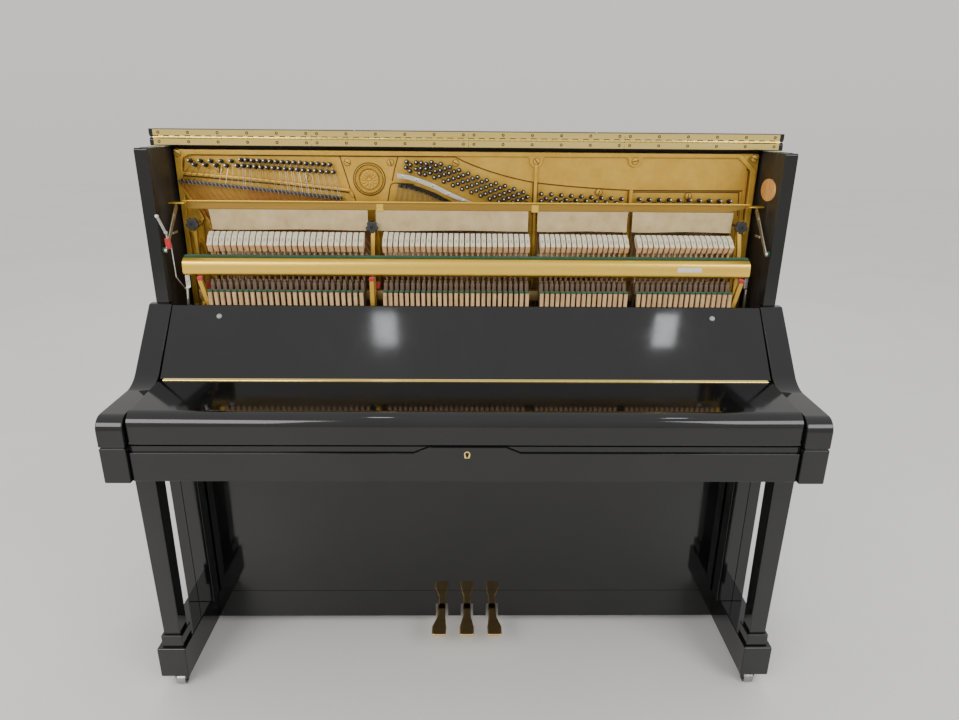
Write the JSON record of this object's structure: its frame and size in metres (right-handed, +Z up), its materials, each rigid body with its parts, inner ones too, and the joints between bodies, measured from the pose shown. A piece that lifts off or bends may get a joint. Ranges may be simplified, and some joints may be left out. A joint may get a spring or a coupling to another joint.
{
  "type": "upright piano",
  "caption": "Tall upright piano in a polished black case, with sloped fallboard, folding top lid, action behind the open upper front, toe rails, legs and pedals.",
  "frame": {"origin": "on the floor, under the middle of the case's bounding box", "axes": "+X to the treble end, -Y to the player, +Z up"},
  "size_m": [1.53, 0.65, 1.327],
  "materials": {
    "polished_black": "polished black polyester over board",
    "inside_black": "matte brown-black stain",
    "roller_steel": "bright steel",
    "caster_iron": "black painted iron",
    "hinge_brass": "polished brass",
    "gold_iron": "gold bronze paint on cast iron",
    "gold_rail": "gold anodised",
    "maple": "plain close-grained wood",
    "spruce": "varnished straight-grained wood",
    "white_key": "off-white moulded tops",
    "black_key": "satin black",
    "hammer_wood": "pale wood with felt heads",
    "mute_felt": "thin cream felt"
  },
  "bodies": {
    "case": {"side_panel_left": "polished_black", "side_panel_right": "polished_black", "arm_left": "polished_black", "arm_right": "polished_black", "leg_left": "polished_black", "leg_right": "polished_black", "toe_rail_left": "polished_black", "toe_rail_right": "polished_black", "key_slip": "polished_black", "bottom_rail": "polished_black", "rear_lid": "polished_black", "fallboard_panel": "polished_black", "key_bed": "inside_black", "bottom_board": "inside_black", "back_frame": "inside_black", "front_caster_left": "caster_iron", "front_caster_right": "caster_iron", "rear_caster_left": "caster_iron", "rear_caster_right": "caster_iron", "lid_hinge_fixed_leaf": "hinge_brass", "fallboard_hinge": "hinge_brass", "iron_plate": "gold_iron", "action_bracket_left": "gold_iron", "action_bracket_middle": "gold_iron", "action_bracket_right": "gold_iron", "pin_block": "maple", "treble_bridge": "maple", "bass_bridge": "maple", "key_frame": "maple", "action_rail": "maple", "soundboard": "spruce", "white_keys_bass": "white_key", "white_keys_treble": "white_key", "black_keys_bass": "black_key", "black_keys_treble": "black_key"},
    "front_lid": {"front_lid": "polished_black", "lid_hinge_moving_leaf": "hinge_brass"},
    "fallboard_lid": {"fallboard_lid": "polished_black"},
    "lower_panel": {"lower_panel": "polished_black"},
    "lower_panel_clip": {"lower_panel_clip": "roller_steel"},
    "front_wheel_left": {"front_wheel_left": "roller_steel"},
    "front_wheel_right": {"front_wheel_right": "roller_steel"},
    "rear_wheel_left": {"rear_wheel_left": "roller_steel"},
    "rear_wheel_right": {"rear_wheel_right": "roller_steel"},
    "pedal_left": {"pedal_left": "hinge_brass"},
    "pedal_middle": {"pedal_middle": "hinge_brass"},
    "pedal_right": {"pedal_right": "hinge_brass"},
    "trap_lever_soft": {"trap_lever_soft": "maple"},
    "trap_lever_damper": {"trap_lever_damper": "maple"},
    "trap_lever_mute": {"trap_lever_mute": "maple"},
    "dowel_soft": {"dowel_soft": "maple"},
    "dowel_damper": {"dowel_damper": "maple"},
    "hammer_rail": {"hammer_rail": "gold_rail"},
    "hammers": {"hammers": "hammer_wood"},
    "hammer_middle_c": {"hammer_middle_c": "hammer_wood"},
    "dampers": {"dampers": "maple"},
    "mute_rail": {"mute_rail": "gold_rail", "mute_felt": "mute_felt"},
    "key_middle_c": {"key_middle_c": "white_key"},
    "key_c_sharp": {"key_c_sharp": "black_key"}
  },
  "joints": [
    {"name": "lid_flap_hinge", "type": "hinge", "parent": "case", "child": "front_lid", "pos_m": [0, 0.1065, 1.3075], "axis": [1, 0, 0], "range_deg": [0, 180]},
    {"name": "fallboard_hinge", "type": "hinge", "parent": "case", "child": "fallboard_lid", "pos_m": [0, -0.138, 0.7826], "axis": [-1, 0, 0], "range_deg": [0, 130]},
    {"name": "lower_panel_tilt", "type": "hinge", "parent": "case", "child": "lower_panel", "pos_m": [0, -0.035, 0.1223], "axis": [1, 0, 0], "range_deg": [0, 20]},
    {"name": "panel_clip_flex", "type": "hinge", "parent": "case", "child": "lower_panel_clip", "pos_m": [0, 0.043, 0.61995], "axis": [1, 0, 0], "range_deg": [-1, 0], "stiffness_Nm_per_rad": 2, "springref_deg": 5.73},
    {"name": "front_wheel_left_roll", "type": "hinge", "parent": "case", "child": "front_wheel_left", "pos_m": [-0.717, -0.234, 0.016], "axis": [1, 0, 0], "continuous": true},
    {"name": "rear_wheel_left_roll", "type": "hinge", "parent": "case", "child": "rear_wheel_left", "pos_m": [-0.6, 0.265, 0.034], "axis": [1, 0, 0], "continuous": true},
    {"name": "front_wheel_right_roll", "type": "hinge", "parent": "case", "child": "front_wheel_right", "pos_m": [0.717, -0.234, 0.016], "axis": [1, 0, 0], "continuous": true},
    {"name": "rear_wheel_right_roll", "type": "hinge", "parent": "case", "child": "rear_wheel_right", "pos_m": [0.6, 0.265, 0.034], "axis": [1, 0, 0], "continuous": true},
    {"name": "pedal_left_press", "type": "hinge", "parent": "case", "child": "pedal_left", "pos_m": [-0.07, 0.125, 0.066], "axis": [1, 0, 0], "range_deg": [0, 5.5], "stiffness_Nm_per_rad": 20, "springref_deg": -8.59},
    {"name": "pedal_middle_press", "type": "hinge", "parent": "case", "child": "pedal_middle", "pos_m": [0, 0.125, 0.066], "axis": [1, 0, 0], "range_deg": [0, 5.5], "stiffness_Nm_per_rad": 20, "springref_deg": -8.59},
    {"name": "pedal_right_press", "type": "hinge", "parent": "case", "child": "pedal_right", "pos_m": [0.07, 0.125, 0.066], "axis": [1, 0, 0], "range_deg": [0, 5.5], "stiffness_Nm_per_rad": 20, "springref_deg": -8.59},
    {"name": "trap_lever_soft_rock", "type": "hinge", "parent": "case", "child": "trap_lever_soft", "pos_m": [-0.19, 0.105, 0.128], "axis": [0, 1, 0], "range_deg": [0, 1.31]},
    {"name": "trap_lever_damper_rock", "type": "hinge", "parent": "case", "child": "trap_lever_damper", "pos_m": [-0.05, 0.078, 0.128], "axis": [0, 1, 0], "range_deg": [0, 1.11]},
    {"name": "trap_lever_mute_rock", "type": "hinge", "parent": "case", "child": "trap_lever_mute", "pos_m": [-0.12, 0.051, 0.128], "axis": [0, 1, 0], "range_deg": [0, 1.51]},
    {"name": "dowel_soft_lift", "type": "slide", "parent": "case", "child": "dowel_soft", "axis": [0, 0, 1], "range_m": [0, 0.0125]},
    {"name": "dowel_damper_lift", "type": "slide", "parent": "case", "child": "dowel_damper", "axis": [0, 0, 1], "range_m": [0, 0.0134]},
    {"name": "hammer_rail_swing", "type": "hinge", "parent": "case", "child": "hammer_rail", "pos_m": [0, 0.048, 0.952], "axis": [-1, 0, 0], "range_deg": [0, 6.51]},
    {"name": "hammers_swing", "type": "hinge", "parent": "case", "child": "hammers", "pos_m": [0, 0.048, 0.952], "axis": [-1, 0, 0], "range_deg": [0, 6.51]},
    {"name": "hammer_middle_c_swing", "type": "hinge", "parent": "hammers", "child": "hammer_middle_c", "pos_m": [-0.0285, 0.048, 0.952], "axis": [-1, 0, 0], "range_deg": [0, 14.01]},
    {"name": "dampers_lift", "type": "hinge", "parent": "case", "child": "dampers", "pos_m": [0, 0.085, 0.951], "axis": [1, 0, 0], "range_deg": [0, 5.01]},
    {"name": "mute_rail_swing", "type": "hinge", "parent": "case", "child": "mute_rail", "pos_m": [0, -0.004, 1.058], "axis": [-1, 0, 0], "range_deg": [0, 14.01], "deforming": ["mute_felt"]},
    {"name": "key_middle_c_press", "type": "hinge", "parent": "case", "child": "key_middle_c", "pos_m": [-0.05875, -0.1, 0.708], "axis": [1, 0, 0], "range_deg": [0, 3], "stiffness_Nm_per_rad": 0.5, "springref_deg": -14.32},
    {"name": "key_c_sharp_press", "type": "hinge", "parent": "case", "child": "key_c_sharp", "pos_m": [-0.047, -0.1, 0.708], "axis": [1, 0, 0], "range_deg": [0, 3], "stiffness_Nm_per_rad": 0.5, "springref_deg": -14.32}
  ],
  "couplings": [
    {"joint": "trap_lever_soft_rock", "follows": "pedal_left_press", "ratio": 0.23636},
    {"joint": "trap_lever_damper_rock", "follows": "pedal_right_press", "ratio": 0.2},
    {"joint": "trap_lever_mute_rock", "follows": "pedal_middle_press", "ratio": 0.27273},
    {"joint": "dowel_soft_lift", "follows": "pedal_left_press", "m_per_rad": 0.12461},
    {"joint": "dowel_damper_lift", "follows": "pedal_right_press", "m_per_rad": 0.13392},
    {"joint": "hammer_rail_swing", "follows": "pedal_left_press", "ratio": 1.1818},
    {"joint": "hammers_swing", "follows": "pedal_left_press", "ratio": 1.1818},
    {"joint": "hammer_middle_c_swing", "follows": "key_middle_c_press", "ratio": 4.6667},
    {"joint": "dampers_lift", "follows": "pedal_right_press", "ratio": 0.90909},
    {"joint": "mute_rail_swing", "follows": "pedal_middle_press", "ratio": 2.5455}
  ]
}
